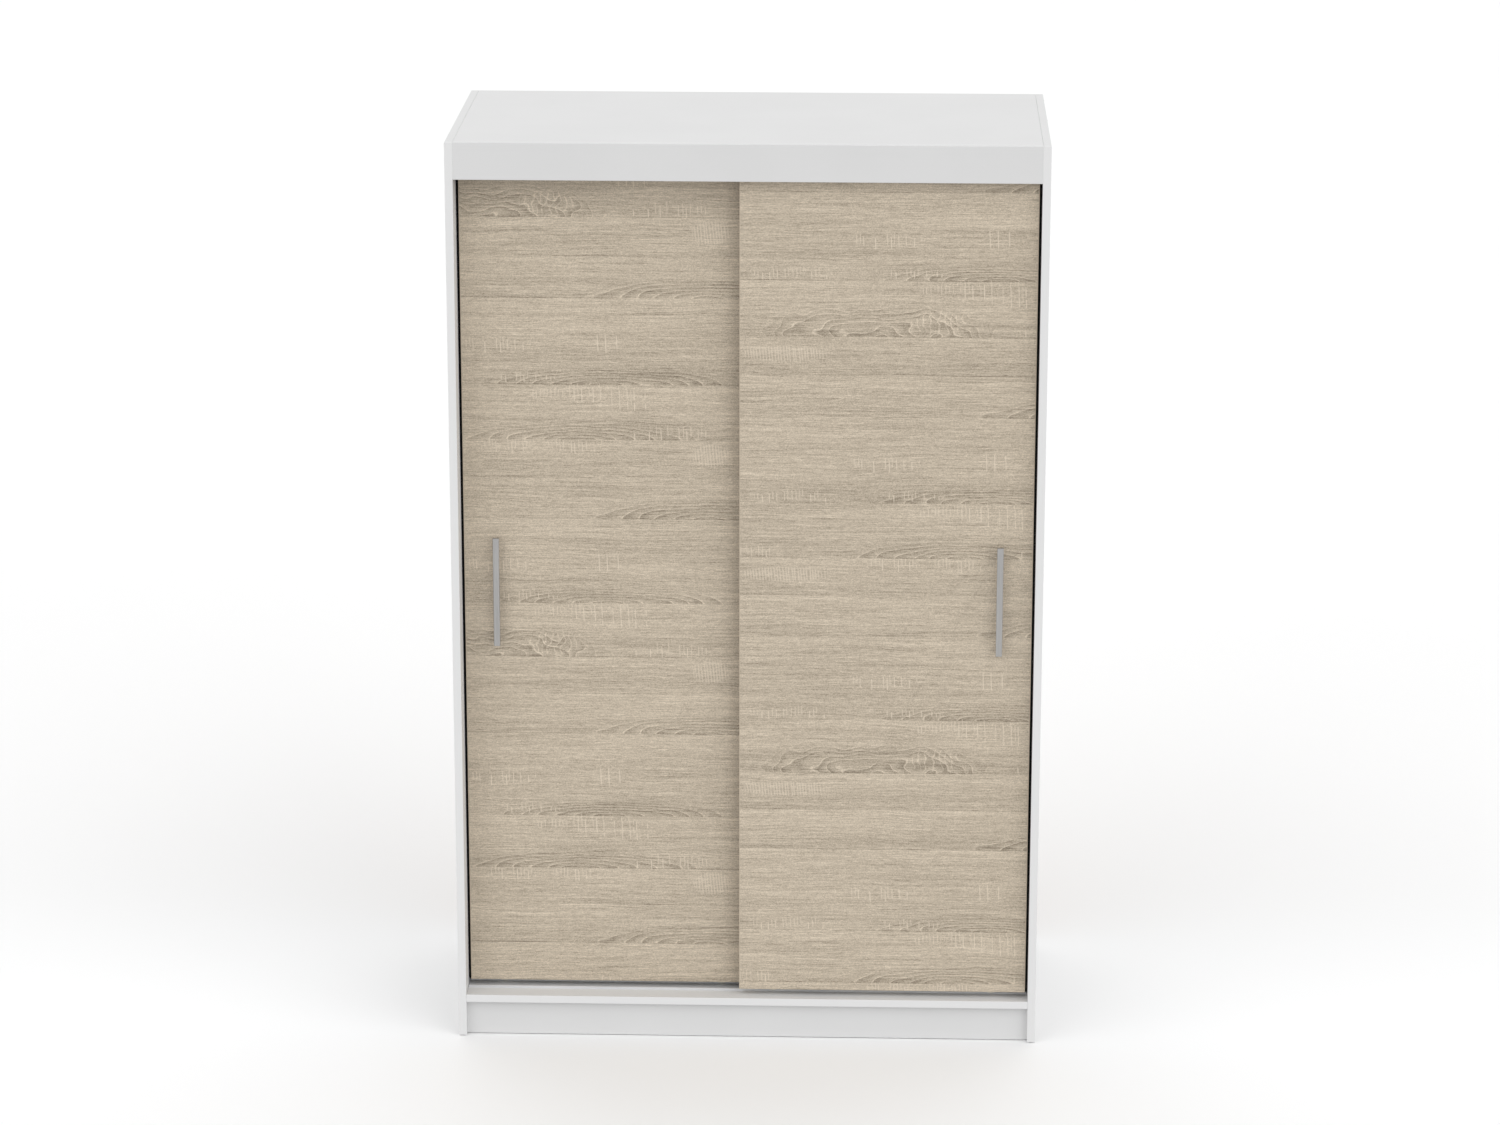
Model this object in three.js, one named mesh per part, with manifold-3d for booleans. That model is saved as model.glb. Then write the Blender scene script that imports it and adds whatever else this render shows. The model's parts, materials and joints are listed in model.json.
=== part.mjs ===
// Sliding door wardrobe: a white board carcass with two oak doors that run on rollers in two lanes.
// Millimetres. +X is right, +Y is towards the wall, +Z is up.
// The origin is on the floor, at the middle of the footprint.

import * as THREE from 'three';
import { mergeVertices } from 'three/addons/utils/BufferGeometryUtils.js';
import Module from 'manifold-3d';

const wasm = await Module();
wasm.setup();

// ---------------------------------------------------------------- driving dimensions

const WIDTH = 1200;
const DEPTH = 600;
const HEIGHT = 1890;
const BOARD = 16; // chipboard thickness
const BACK = 3; // hardboard thickness
const GLIDE = 1.2; // thin plastic glides keep the carcass just off the floor

const PLINTH_RECESS = 14;
const BOTTOM_TOP = 91; // upper face of the bottom board
const FASCIA_HEIGHT = 75;
const INTERIOR_SETBACK = 104; // partition and shelves stay behind both door lanes
const BACK_INSET = 2; // the back panels stop short of the carcass outline
const END_GAP = 1; // between the ends of the tracks and the side panels

const DOOR_WIDTH = 595;
const DOOR_BOTTOM = 103.5;
const DOOR_TOP = 1846.5;
const DOOR_SIDE_GAP = 5; // between a closed door and its side panel
const FRONT_LANE = 22; // front face of the front door, behind the carcass front
const REAR_LANE = 60; // front face of the rear door

const HANDLE_LENGTH = 228;
const HANDLE_WIDTH = 13;
const HANDLE_THICKNESS = 7;
const HANDLE_PROJECTION = 20.5;
const HANDLE_INSET = 66.5; // handle's middle, from the door's outer edge
const HANDLE_HEIGHT = 953; // handle's middle, above the floor
const POST_SPACING = 192;

const WHEEL_RADIUS = 16;
const WHEEL_GROOVE_RADIUS = 13; // runs on the rail
const WHEEL_WIDTH = 8;
const WHEEL_INSET = 70; // wheel's middle, from the door's edges
const RUNNER_OFFSET = 8.5; // wheels and guides run this far behind a door's back face

const RAIL_WIDTH = 4;
const RAIL_TOP = 95.5;
const RAIL_SPACE = 0.3; // a wheel keeps this above its rail
const CHANNEL = 12; // inner width of an upper channel
const CHANNEL_WALL = 1.5;
const CHANNEL_DEPTH = 18;
const TRACK_PLATE = 2;
const GUIDE_INSET = 45; // top guide's middle, from the door's edges
const GUIDE_PEG_RADIUS = 5.5;

const SHELF_COUNT = 4; // in the left half
const HAT_SHELF_HEIGHT = 1590; // underside
const HANGING_RAIL_HEIGHT = 1540;
const HANGING_RAIL_RADIUS = 12.5;

// ---------------------------------------------------------------- derived places

const FRONT_Y = -DEPTH / 2;
const REAR_Y = FRONT_Y + DEPTH - BACK; // rear edges of the boards
const INNER_X = WIDTH / 2 - BOARD; // inner faces of the side panels
const CEILING = HEIGHT - BOARD; // underside of the top board
const INTERIOR_Y = FRONT_Y + INTERIOR_SETBACK;
const DOOR_OUTER_X = INNER_X - DOOR_SIDE_GAP;
const LANES = { rear: FRONT_Y + REAR_LANE, front: FRONT_Y + FRONT_LANE };
const AXLE_Z = RAIL_TOP + RAIL_SPACE + WHEEL_GROOVE_RADIUS;

// Where the wheels and guides of a lane run.
const runnerY = (doorFront) => doorFront + BOARD + RUNNER_OFFSET;

// ---------------------------------------------------------------- materials

const finish = (color, roughness, metalness = 0) =>
  new THREE.MeshStandardMaterial({ color, roughness, metalness });

const white = finish('#eceae7', 0.5);
const oak = finish('#bba98c', 0.6);
const hardboard = finish('#d9d4cc', 0.75);
const aluminium = finish('#b4b5b6', 0.35, 0.9);
const handleMetal = finish('#aeafae', 0.4, 0.85);
const chrome = finish('#c9cbcd', 0.15, 1);
const steel = finish('#9a9c9f', 0.35, 0.9);
const brush = finish('#0c0c0d', 0.95);
const greyPlastic = finish('#74777a', 0.55);
const whiteNylon = finish('#e6e4dc', 0.45);
const blackPlastic = finish('#1c1c1d', 0.6);

// ---------------------------------------------------------------- geometry helpers

const ROUND = 40; // segments of a turned piece
const SMALL_ROUND = 20; // segments of a screw or pin
const CLEARANCE = 0.3; // between a pin and its bore
const OVERSHOOT = 1; // a cutter passes the face it opens by this much

const wardrobe = new THREE.Group();

// Adds a named piece to the wardrobe.
function add(name, geometry, material) {
  const mesh = new THREE.Mesh(geometry, material);
  mesh.name = name;
  wardrobe.add(mesh);
  return mesh;
}

// A block between two limits along each axis.
function block([x0, x1], [y0, y1], [z0, z1]) {
  const geometry = new THREE.BoxGeometry(x1 - x0, y1 - y0, z1 - z0);
  return geometry.translate((x0 + x1) / 2, (y0 + y1) / 2, (z0 + z1) / 2);
}

// A closed outline from a list of points.
const outline = (points) => new THREE.Shape(points.map(([a, b]) => new THREE.Vector2(a, b)));

// A section given as (y, z) points, drawn out from x0 to x1.
function profileAlongX(section, x0, x1) {
  const geometry = new THREE.ExtrudeGeometry(section, { depth: x1 - x0, bevelEnabled: false });
  geometry.applyMatrix4(new THREE.Matrix4().set(0, 0, 1, 0, 1, 0, 0, 0, 0, 1, 0, 0, 0, 0, 0, 1));
  return geometry.translate(x0, 0, 0);
}

// A section given as (x, z) points, drawn out from y0 to y1.
function profileAlongY(section, y0, y1) {
  const geometry = new THREE.ExtrudeGeometry(section, { depth: y1 - y0, bevelEnabled: false });
  return geometry.rotateX(Math.PI / 2).translate(0, y1, 0);
}

// A turned piece. Its profile is (radius, distance along the axis), and the axis starts as +Y.
function turned(profile, segments = ROUND) {
  const points = profile.map(([radius, along]) => new THREE.Vector2(radius, along));
  return new THREE.LatheGeometry(points, segments);
}

// A solid cylinder from one distance to another along +Y.
const rod = (radius, y0, y1, segments = SMALL_ROUND) =>
  turned([[0, y0], [radius, y0], [radius, y1], [0, y1]], segments);

// A closed three.js geometry as a solid that can be cut.
function solid(geometry) {
  const plain = geometry.clone();
  plain.deleteAttribute('normal');
  plain.deleteAttribute('uv');
  const merged = mergeVertices(plain, 1e-4);
  return new wasm.Manifold(new wasm.Mesh({
    numProp: 3,
    vertProperties: new Float32Array(merged.attributes.position.array),
    triVerts: new Uint32Array(merged.index.array),
  }));
}

// A cut or joined solid as a three.js geometry again.
function surface(body) {
  const mesh = body.getMesh();
  const geometry = new THREE.BufferGeometry();
  geometry.setAttribute('position', new THREE.BufferAttribute(mesh.vertProperties, 3));
  geometry.setIndex(new THREE.BufferAttribute(mesh.triVerts, 1));
  geometry.computeVertexNormals();
  return geometry;
}

// The geometry of a body with other bodies taken out of it.
const cut = (body, ...cutters) =>
  surface(cutters.reduce((rest, cutter) => rest.subtract(solid(cutter)), solid(body)));

// The geometry of two overlapping bodies joined into one.
const join = (body, other) => surface(solid(body).add(solid(other)));

// ---------------------------------------------------------------- carcass

function sidePanels() {
  for (const [name, sign] of [['left', -1], ['right', 1]]) {
    const across = [sign * INNER_X, sign * WIDTH / 2].sort((a, b) => a - b);
    add(`${name}_side_panel`, block(across, [FRONT_Y, REAR_Y], [GLIDE, HEIGHT]), white);
  }
}

function boards() {
  const across = [-INNER_X, INNER_X];
  add('top_board', block(across, [FRONT_Y + BOARD, REAR_Y], [CEILING, HEIGHT]), white);
  add('bottom_board', block(across, [FRONT_Y, REAR_Y], [BOTTOM_TOP - BOARD, BOTTOM_TOP]), white);
  add('top_fascia', block(across, [FRONT_Y, FRONT_Y + BOARD], [HEIGHT - FASCIA_HEIGHT, HEIGHT]), white);
}

function plinth() {
  const across = [-INNER_X, INNER_X];
  const up = [GLIDE, BOTTOM_TOP - BOARD];
  const frontFace = FRONT_Y + PLINTH_RECESS;
  add('front_plinth', block(across, [frontFace, frontFace + BOARD], up), white);
  add('rear_plinth', block(across, [REAR_Y - BOARD, REAR_Y], up), white);
  add('plinth_brace', block([-BOARD / 2, BOARD / 2], [frontFace + BOARD, REAR_Y - BOARD], up), white);
}

function interior() {
  const deep = [INTERIOR_Y, REAR_Y];
  add('centre_partition', block([-BOARD / 2, BOARD / 2], deep, [BOTTOM_TOP, CEILING]), white);
  const clearHeight = (CEILING - BOTTOM_TOP - SHELF_COUNT * BOARD) / (SHELF_COUNT + 1);
  for (let i = 1; i <= SHELF_COUNT; i += 1) {
    const underside = Math.round(BOTTOM_TOP + i * clearHeight + (i - 1) * BOARD);
    add(`left_shelf_${i}`, block([-INNER_X, -BOARD / 2], deep, [underside, underside + BOARD]), white);
  }
  const up = [HAT_SHELF_HEIGHT, HAT_SHELF_HEIGHT + BOARD];
  add('hat_shelf', block([BOARD / 2, INNER_X], deep, up), white);
}

function backPanels() {
  const deep = [REAR_Y, REAR_Y + BACK];
  const up = [BOTTOM_TOP - BOARD + BACK_INSET, HEIGHT - BACK_INSET];
  const outer = WIDTH / 2 - BACK_INSET;
  const seam = 0.5; // half the gap where the two halves meet
  add('back_panel_left', block([-outer, -seam], deep, up), hardboard);
  add('back_panel_right', block([seam, outer], deep, up), hardboard);
}

// A tube held at each end in a flanged cup.
function hangingRail() {
  const wall = 1.2;
  const cupDepth = 14;
  const cupWall = 2.2;
  const flangeRadius = 26;
  const flangeThickness = 2.5;
  const coneRise = 1.5; // the flange thickens by this much towards the cup
  const endGap = flangeThickness + CLEARANCE;
  const middleY = (INTERIOR_Y + REAR_Y) / 2;
  const left = BOARD / 2;
  const right = INNER_X;
  const place = (geometry, x, turn) =>
    geometry.rotateZ(turn).translate(x, middleY, HANGING_RAIL_HEIGHT);

  const inner = HANGING_RAIL_RADIUS - wall;
  const length = right - left - 2 * endGap;
  const tube = turned([
    [inner, 0], [HANGING_RAIL_RADIUS, 0], [HANGING_RAIL_RADIUS, length], [inner, length], [inner, 0],
  ]);
  add('hanging_rail', place(tube, left + endGap, -Math.PI / 2), chrome);

  const socket = HANGING_RAIL_RADIUS + CLEARANCE;
  const cupRadius = socket + cupWall;
  const cup = () => turned([
    [0, 0], [flangeRadius, 0], [flangeRadius, flangeThickness], [cupRadius, flangeThickness + coneRise],
    [cupRadius, cupDepth], [socket, cupDepth], [socket, flangeThickness], [0, flangeThickness],
  ]);
  add('rail_flange_left', place(cup(), left, -Math.PI / 2), chrome);
  add('rail_flange_right', place(cup(), right, Math.PI / 2), chrome);
}

function glides() {
  const radius = 8;
  const chamfer = 0.4;
  const inset = 40; // from the front and rear edges of the side panels
  for (const [side, sign] of [['left', -1], ['right', 1]]) {
    for (const [end, y] of [['front', FRONT_Y + inset], ['rear', REAR_Y - inset]]) {
      const disc = turned([
        [0, 0], [radius - chamfer, 0], [radius, chamfer], [radius, GLIDE], [0, GLIDE],
      ], SMALL_ROUND);
      disc.rotateX(Math.PI / 2).translate(sign * (WIDTH - BOARD) / 2, y, 0);
      add(`${end}_${side}_glide`, disc, blackPlastic);
    }
  }
}

// ---------------------------------------------------------------- tracks

// A flat base with one upright rail for each lane, on the bottom board.
function lowerTrack() {
  const base = 1.6;
  const chamfer = 0.8;
  const front = runnerY(LANES.front) - RAIL_WIDTH / 2;
  const rear = runnerY(LANES.rear) + RAIL_WIDTH / 2;
  const floor = BOTTOM_TOP;
  const section = outline([
    [front, floor], [rear, floor],
    [rear, RAIL_TOP - chamfer], [rear - chamfer, RAIL_TOP],
    [rear - RAIL_WIDTH + chamfer, RAIL_TOP], [rear - RAIL_WIDTH, RAIL_TOP - chamfer],
    [rear - RAIL_WIDTH, floor + base], [front + RAIL_WIDTH, floor + base],
    [front + RAIL_WIDTH, RAIL_TOP - chamfer], [front + RAIL_WIDTH - chamfer, RAIL_TOP],
    [front + chamfer, RAIL_TOP], [front, RAIL_TOP - chamfer],
  ]);
  add('lower_track', profileAlongX(section, -INNER_X + END_GAP, INNER_X - END_GAP), aluminium);
}

// Two channels that open downwards, under the top board.
function upperTrack() {
  const top = CEILING;
  const roof = CEILING - TRACK_PLATE;
  const lip = roof - CHANNEL_DEPTH;
  const points = [];
  for (const lane of [LANES.front, LANES.rear]) {
    const middle = runnerY(lane);
    const inside = CHANNEL / 2;
    const outside = inside + CHANNEL_WALL;
    points.push(
      [middle - outside, roof], [middle - outside, lip], [middle - inside, lip], [middle - inside, roof],
      [middle + inside, roof], [middle + inside, lip], [middle + outside, lip], [middle + outside, roof],
    );
  }
  const front = points[0][0];
  const rear = points[points.length - 1][0];
  points.push([rear, top], [front, top]);
  const corners = points.filter(([y, z]) => !(z === roof && (y === front || y === rear)));
  add('upper_track', profileAlongX(outline(corners), -INNER_X + END_GAP, INNER_X - END_GAP), aluminium);
}

// The top guides' pegs meet these at both ends of a lane.
function trackStops() {
  const height = 12;
  const pegGap = 0.5; // between a closed door's peg and its stop
  const pegReach = DOOR_OUTER_X - GUIDE_INSET + GUIDE_PEG_RADIUS + pegGap;
  const roof = CEILING - TRACK_PLATE;
  for (const [laneName, lane] of Object.entries(LANES)) {
    const middle = runnerY(lane);
    const halfWidth = CHANNEL / 2 - CLEARANCE;
    const deep = [middle - halfWidth, middle + halfWidth];
    const up = [roof - CLEARANCE - height, roof - CLEARANCE];
    add(`${laneName}_lane_stop_left`, block([-INNER_X + END_GAP, -pegReach], deep, up), greyPlastic);
    add(`${laneName}_lane_stop_right`, block([pegReach, INNER_X - END_GAP], deep, up), greyPlastic);
  }
}

// ---------------------------------------------------------------- doors

const SCREW_RADIUS = 2;
const SCREW_HEAD_RADIUS = 4;
const SCREW_HEAD = 2.4;
const COUNTERBORE = 3;
const COUNTERBORE_GAP = 0.5; // round a screw's head
const POST_RADIUS = 5;
const POST_BORE = 11; // depth of the thread in a handle post
const TIP_GAP = 2; // a handle screw ends this far short of its thread's end
const HEAD_RECESS = 0.25; // a handle screw's head lies this far below the door's back face
const AXLE_RADIUS = 3;

// A door panel with a stepped bore at each handle post.
function doorPanel(name, left, front, handleX, postHeights) {
  const back = front + BOARD;
  const panel = block([left, left + DOOR_WIDTH], [front, back], [DOOR_BOTTOM, DOOR_TOP]);
  const bores = postHeights.flatMap((z) => [
    rod(SCREW_RADIUS + CLEARANCE, front - OVERSHOOT, back + OVERSHOOT).translate(handleX, 0, z),
    rod(SCREW_HEAD_RADIUS + COUNTERBORE_GAP, back - COUNTERBORE, back + OVERSHOOT).translate(handleX, 0, z),
  ]);
  add(`${name}_panel`, cut(panel, ...bores), oak);
}

// A flat bar on two posts, each held by a screw from behind the door.
function doorHandle(name, front, handleX, postHeights) {
  const face = front - HANDLE_PROJECTION;
  const barBack = face + HANDLE_THICKNESS;
  const corner = 1;
  const halfWidth = HANDLE_WIDTH / 2;
  const bar = outline([
    [handleX - halfWidth, barBack], [handleX - halfWidth, face + corner],
    [handleX - halfWidth + corner, face], [handleX + halfWidth - corner, face],
    [handleX + halfWidth, face + corner], [handleX + halfWidth, barBack],
  ]);
  const geometry = new THREE.ExtrudeGeometry(bar, { depth: HANDLE_LENGTH, bevelEnabled: false });
  geometry.translate(0, 0, HANDLE_HEIGHT - HANDLE_LENGTH / 2);
  add(`${name}_handle_bar`, geometry, handleMetal);

  postHeights.forEach((z, i) => {
    const label = ['lower', 'upper'][i];
    const bore = SCREW_RADIUS + CLEARANCE;
    const post = turned([
      [0, barBack], [POST_RADIUS, barBack], [POST_RADIUS, front], [bore, front],
      [bore, front - POST_BORE], [0, front - POST_BORE],
    ], 24);
    add(`${name}_handle_post_${label}`, post.translate(handleX, 0, z), handleMetal);
    const headBack = front + BOARD - HEAD_RECESS;
    const headFront = headBack - SCREW_HEAD;
    const tip = front - POST_BORE + TIP_GAP;
    const screw = turned([
      [0, tip], [SCREW_RADIUS, tip], [SCREW_RADIUS, headFront], [SCREW_HEAD_RADIUS, headFront],
      [SCREW_HEAD_RADIUS, headBack], [0, headBack],
    ], SMALL_ROUND);
    add(`${name}_handle_screw_${label}`, screw.translate(handleX, 0, z), steel);
  });
}

// The brush strip fills the gap between a closed door and its side panel.
function brushSeal(name, outerX, sign, front) {
  const tipGap = 0.5; // between the tips and the side panel
  const reach = DOOR_SIDE_GAP - tipGap;
  const depth = 12;
  const across = [outerX, outerX + sign * reach].sort((a, b) => a - b);
  add(`${name}_brush_seal`, block(across, [front, front + depth], [DOOR_BOTTOM, DOOR_TOP]), brush);
}

// A grooved wheel on a pin, in a housing screwed to the back of the door.
function roller(name, label, x, front) {
  const back = front + BOARD;
  const middle = runnerY(front);
  const halfThickness = RUNNER_OFFSET;
  const halfWidth = 28;
  const foot = 98; // above the floor
  const head = 158;
  const corner = 10;
  const pocketHalf = WHEEL_WIDTH / 2 + 1; // room round the wheel
  const pocketRadius = WHEEL_RADIUS + 1.5;
  const shell = outline([
    [x - halfWidth, foot], [x + halfWidth, foot], [x + halfWidth, head - corner],
    [x + halfWidth - corner, head], [x - halfWidth + corner, head], [x - halfWidth, head - corner],
  ]);
  const housing = profileAlongY(shell, back, middle + halfThickness);
  const pocket = rod(pocketRadius, middle - pocketHalf, middle + pocketHalf, ROUND)
    .translate(x, 0, AXLE_Z);
  const mouth = block(
    [x - pocketRadius, x + pocketRadius],
    [middle - pocketHalf, middle + pocketHalf],
    [foot - OVERSHOOT, AXLE_Z],
  );
  const pinBore = rod(AXLE_RADIUS + CLEARANCE, back - OVERSHOOT, middle + halfThickness + OVERSHOOT)
    .translate(x, 0, AXLE_Z);
  add(`${name}_roller_housing_${label}`, cut(housing, pocket, mouth, pinBore), greyPlastic);

  const pinRecess = 0.5; // below the housing's faces
  const pinEnd = halfThickness - pinRecess;
  const pin = rod(AXLE_RADIUS, middle - pinEnd, middle + pinEnd).translate(x, 0, AXLE_Z);
  add(`${name}_axle_pin_${label}`, pin, steel);

  const bore = AXLE_RADIUS + CLEARANCE;
  const rim = WHEEL_WIDTH / 2;
  const chamfer = 0.5;
  const flank = 0.4; // the groove widens by this much towards the rim
  const grooveHalf = RAIL_WIDTH / 2 + 0.5;
  const wheel = turned([
    [bore, -rim], [WHEEL_RADIUS - chamfer, -rim], [WHEEL_RADIUS, -rim + chamfer],
    [WHEEL_RADIUS, -grooveHalf - flank], [WHEEL_GROOVE_RADIUS, -grooveHalf],
    [WHEEL_GROOVE_RADIUS, grooveHalf], [WHEEL_RADIUS, grooveHalf + flank],
    [WHEEL_RADIUS, rim - chamfer], [WHEEL_RADIUS - chamfer, rim], [bore, rim], [bore, -rim],
  ]);
  add(`${name}_wheel_${label}`, wheel.translate(x, middle, AXLE_Z), whiteNylon);
}

// A plastic block on the back of the door, with a peg that runs in the upper channel.
function topGuide(name, label, x, front) {
  const middle = runnerY(front);
  const halfWidth = 20;
  const height = 46;
  const top = DOOR_TOP + 3;
  const pegTop = CEILING - TRACK_PLATE - 4; // clear of the track's roof
  const halfThickness = RUNNER_OFFSET - 1;
  const body = block(
    [x - halfWidth, x + halfWidth],
    [front + BOARD, middle + halfThickness],
    [top - height, top],
  );
  const peg = rod(GUIDE_PEG_RADIUS, top - OVERSHOOT, pegTop, 24).rotateX(Math.PI / 2)
    .translate(x, middle, 0);
  add(`${name}_top_guide_${label}`, join(body, peg), greyPlastic);
}

// A whole door. side is -1 for the left door and 1 for the right one.
function door(name, side, front) {
  const outerX = side * DOOR_OUTER_X;
  const left = side < 0 ? outerX : outerX - DOOR_WIDTH;
  const handleX = outerX - side * HANDLE_INSET;
  const postHeights = [-1, 1].map((sign) => HANDLE_HEIGHT + (sign * POST_SPACING) / 2);
  doorPanel(name, left, front, handleX, postHeights);
  doorHandle(name, front, handleX, postHeights);
  brushSeal(name, outerX, side, front);
  for (const [label, edge, inward] of [['left', left, 1], ['right', left + DOOR_WIDTH, -1]]) {
    roller(name, label, edge + inward * WHEEL_INSET, front);
    topGuide(name, label, edge + inward * GUIDE_INSET, front);
  }
}

// ---------------------------------------------------------------- assembly

sidePanels();
boards();
plinth();
interior();
backPanels();
hangingRail();
glides();
lowerTrack();
upperTrack();
trackStops();
door('left_door', -1, LANES.rear);
door('right_door', 1, LANES.front);

export default wardrobe;
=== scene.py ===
"""Looks of the sliding door wardrobe: finishes, small fittings, camera and studio.

Everything is in metres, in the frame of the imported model: +X right, +Y towards the wall, +Z up.
"""
import json
import math
import random

import bmesh
import bpy
from mathutils import Matrix, Vector


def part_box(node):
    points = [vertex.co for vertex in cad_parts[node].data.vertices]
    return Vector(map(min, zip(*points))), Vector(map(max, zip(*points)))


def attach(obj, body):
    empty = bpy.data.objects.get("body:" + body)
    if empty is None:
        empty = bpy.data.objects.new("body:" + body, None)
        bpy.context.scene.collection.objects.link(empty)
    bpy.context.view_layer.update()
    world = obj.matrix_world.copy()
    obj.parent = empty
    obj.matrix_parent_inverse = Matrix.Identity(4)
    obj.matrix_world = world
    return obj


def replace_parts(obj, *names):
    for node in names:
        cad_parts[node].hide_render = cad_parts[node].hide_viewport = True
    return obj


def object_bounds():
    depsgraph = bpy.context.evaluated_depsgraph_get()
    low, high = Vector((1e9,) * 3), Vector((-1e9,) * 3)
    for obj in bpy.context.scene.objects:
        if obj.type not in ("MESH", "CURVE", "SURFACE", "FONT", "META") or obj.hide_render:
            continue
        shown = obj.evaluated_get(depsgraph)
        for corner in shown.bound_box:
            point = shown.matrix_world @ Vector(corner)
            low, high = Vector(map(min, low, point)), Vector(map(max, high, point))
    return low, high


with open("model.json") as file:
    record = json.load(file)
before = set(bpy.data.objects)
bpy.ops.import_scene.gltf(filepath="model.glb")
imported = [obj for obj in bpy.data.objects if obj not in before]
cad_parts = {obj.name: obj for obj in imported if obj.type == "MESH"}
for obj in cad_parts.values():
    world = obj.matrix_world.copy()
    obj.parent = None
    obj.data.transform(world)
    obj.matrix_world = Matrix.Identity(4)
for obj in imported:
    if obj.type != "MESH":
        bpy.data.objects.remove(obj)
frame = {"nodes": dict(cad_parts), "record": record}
CAD_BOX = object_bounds()
NODES = frame["nodes"]
BODY_OF = {node: body for body, nodes in frame["record"]["behaviour"]["bodies"].items() for node in nodes}
SLOT_OF = {row["node"]: row["material_slot"] for row in frame["record"]["subparts"]}

MM = 0.001
DOORS = ("left_door", "right_door")
SIDES = ("left", "right")


# ---------------------------------------------------------------- node helper


def srgb(code):
    """A hex colour as linear RGBA."""
    channels = [int(code[i:i + 2], 16) / 255 for i in (1, 3, 5)]
    return tuple(c / 12.92 if c <= 0.04045 else ((c + 0.055) / 1.055) ** 2.4 for c in channels) + (1.0,)


class Graph:
    """A material's node tree, with a short call for each kind of node that the finishes use."""

    def __init__(self, name, roughness=0.5, metallic=0.0):
        self.material = bpy.data.materials.new(name)
        self.material.use_nodes = True
        self.tree = self.material.node_tree
        self.shader = self.tree.nodes["Principled BSDF"]
        self.shader.inputs["Roughness"].default_value = roughness
        self.shader.inputs["Metallic"].default_value = metallic
        where = self.tree.nodes.new("ShaderNodeTexCoord")
        self.place = where.outputs["Object"]
        split = self.node("ShaderNodeSeparateXYZ", Vector=self.place)
        self.x, self.y, self.z = split.outputs

    def node(self, kind, **inputs):
        """Adds a node and feeds its inputs. An underscore in a name stands for a space."""
        made = self.tree.nodes.new(kind)
        for name, value in inputs.items():
            self.feed(made.inputs[name.replace("_", " ")], value)
        return made

    def feed(self, socket, value):
        """Links a socket, or sets a plain value."""
        if isinstance(value, bpy.types.NodeSocket):
            self.tree.links.new(value, socket)
        else:
            socket.default_value = value

    def math(self, operation, *values, clamp=False):
        """The result of one math node."""
        made = self.tree.nodes.new("ShaderNodeMath")
        made.operation = operation
        made.use_clamp = clamp
        for socket, value in zip(made.inputs, values):
            self.feed(socket, value)
        return made.outputs[0]

    def add(self, *values):
        """The sum of the values."""
        total = values[0]
        for value in values[1:]:
            total = self.math("ADD", total, value)
        return total

    def times(self, *values):
        """The product of the values."""
        total = values[0]
        for value in values[1:]:
            total = self.math("MULTIPLY", total, value)
        return total

    def vector(self, x=0.0, y=0.0, z=0.0):
        """Up to three values as one vector."""
        return self.node("ShaderNodeCombineXYZ", X=x, Y=y, Z=z).outputs[0]

    def noise(self, vector, detail=2.0):
        """Noise with one feature per unit of the vector, from about 0.2 to 0.8."""
        return self.node("ShaderNodeTexNoise", Vector=vector, Scale=1.0, Detail=detail).outputs["Fac"]

    def step(self, value, low, high):
        """Rises smoothly from 0 at low to 1 at high."""
        made = self.node("ShaderNodeMapRange", Value=value)
        made.interpolation_type = "SMOOTHSTEP"
        made.inputs["From Min"].default_value = low
        made.inputs["From Max"].default_value = high
        return made.outputs["Result"]

    def ramp(self, value, stops):
        """A colour for each value, from (place, colour) stops."""
        made = self.node("ShaderNodeValToRGB", Fac=value)
        elements = made.color_ramp.elements
        while len(elements) < len(stops):
            elements.new(0.5)
        for element, (place, colour) in zip(elements, stops):
            element.position = place
            element.color = colour
        return made.outputs["Color"]

    def mix(self, share, first, second):
        """Blends two colours: a share of 0 gives the first, and 1 the second."""
        made = self.tree.nodes.new("ShaderNodeMix")
        made.data_type = "RGBA"
        self.feed(made.inputs["Factor"], share)
        self.feed(made.inputs["A"], first)
        self.feed(made.inputs["B"], second)
        return made.outputs["Result"]

    def finish(self, colour, roughness=None, height=None, depth=0.1 * MM, strength=0.5):
        """Feeds the shader and returns the material. depth is the bump's height in metres."""
        self.feed(self.shader.inputs["Base Color"], colour)
        if roughness is not None:
            self.feed(self.shader.inputs["Roughness"], roughness)
        if height is not None:
            bump = self.node("ShaderNodeBump", Height=height, Strength=strength, Distance=depth)
            self.feed(self.shader.inputs["Normal"], bump.outputs["Normal"])
        return self.material


# ---------------------------------------------------------------- oak decor

# The decor is a print of sawn oak strips with the grain lying across the door. It repeats up the
# door, and only every second repeat has the large swirl. Its own axes run along the grain and up
# the door, in metres, from the joint that the swirl stands on.
REPEAT = 0.459
REPEAT_TOP = 0.060
REPEAT_FOOT = REPEAT_TOP - REPEAT
SHADE_OAK = srgb("#706452")
LIGHT_OAK = srgb("#efe0ca")
SAW_OAK = srgb("#e4d6c2")
EDGE_OAK = srgb("#c2b4a0")
EDGE_BAND = 2.0 * MM
RINGS = 7.0  # across a figure, from its middle to its rim
OUT_OF_REACH = 10.0  # far past every rim

# Heights of the joints between the sawn strips.
JOINTS = (0.0, -0.079, -0.165, -0.344)

# Each strip is darker at its foot and grows paler towards the joint above it.
STRIP_FOOT = 0.495
STRIP_HEAD = 0.585
JOINT_BLUR = 1.0 * MM
JOINT_WANDER = 4.0 * MM
JOINT_LINE = (0.5 * MM, 1.7 * MM)  # dark within the first reach, gone past the second
GRAIN_DRIFT = 20 * MM

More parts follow.
